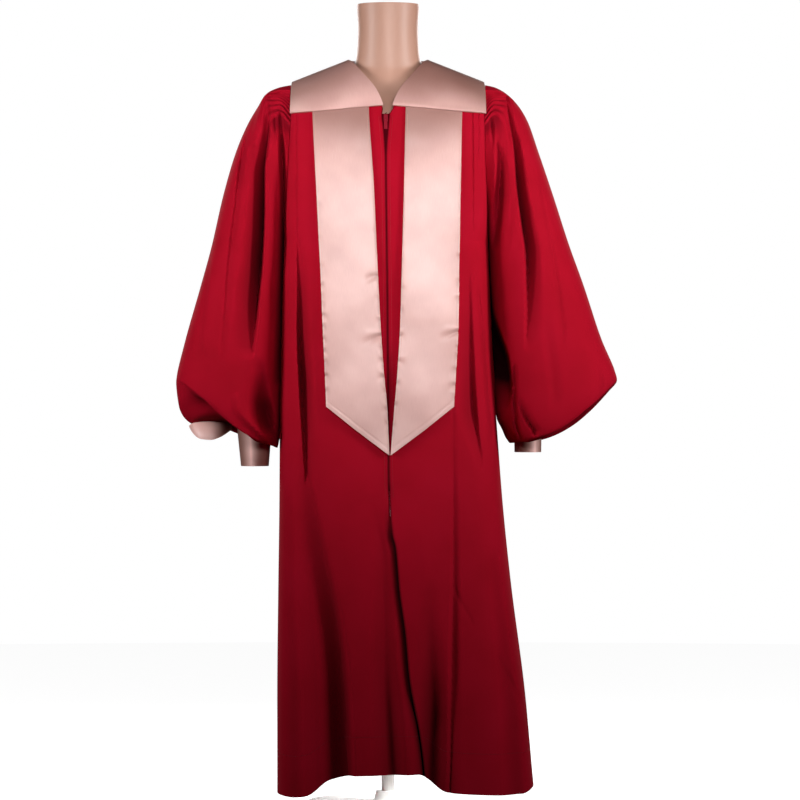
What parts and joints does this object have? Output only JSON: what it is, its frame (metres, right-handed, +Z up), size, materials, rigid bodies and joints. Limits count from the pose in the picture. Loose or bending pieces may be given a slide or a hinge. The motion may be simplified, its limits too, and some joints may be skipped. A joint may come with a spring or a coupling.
{
  "type": "choir robe on dress form",
  "caption": "Long zip-front choir robe with full gathered sleeves, satin cuffs, satin collar and stole bands, worn by a limbless dress form on a round base.",
  "frame": {"origin": "centre of the round base's flat underside, on the axis of the pole and the neck", "axes": "+Z up, the robe's front faces -Y, the wearer's right side is at -X"},
  "size_m": [0.824, 0.443, 1.494],
  "materials": {
    "red_twill": "matte polyester twill in deep red, with a faint sheen at grazing angles",
    "satin": "rose gold polyester satin, smooth, with soft broad highlights",
    "zip_tape": "woven zip tape dyed to match the robe",
    "zip_metal": "die-cast zinc, enamelled dark red, worn bright at the edges",
    "form_skin": "smooth moulded plastic in a light skin tone, semi-gloss",
    "stand_white": "white powder coat on steel"
  },
  "bodies": {
    "robe": {"front_right": "red_twill", "front_left": "red_twill", "back": "red_twill", "sleeve_right": "red_twill", "sleeve_left": "red_twill", "cuff_right": "satin", "cuff_left": "satin", "cuff_end_right": "satin", "collar": "satin", "stole_right": "satin", "stole_left": "satin", "zip_tape_right": "zip_tape", "zip_tape_left": "zip_tape", "zip_slider": "zip_metal", "form_torso": "form_skin", "form_pole": "stand_white", "form_base": "stand_white"},
    "pull": {"zip_pull": "zip_metal"}
  },
  "joints": [
    {"name": "pull_hinge", "type": "hinge", "parent": "robe", "child": "pull", "pos_m": [-0.00397, -0.11053, 1.2778], "axis": [-1, 0, 0], "range_deg": [0, 150]}
  ]
}
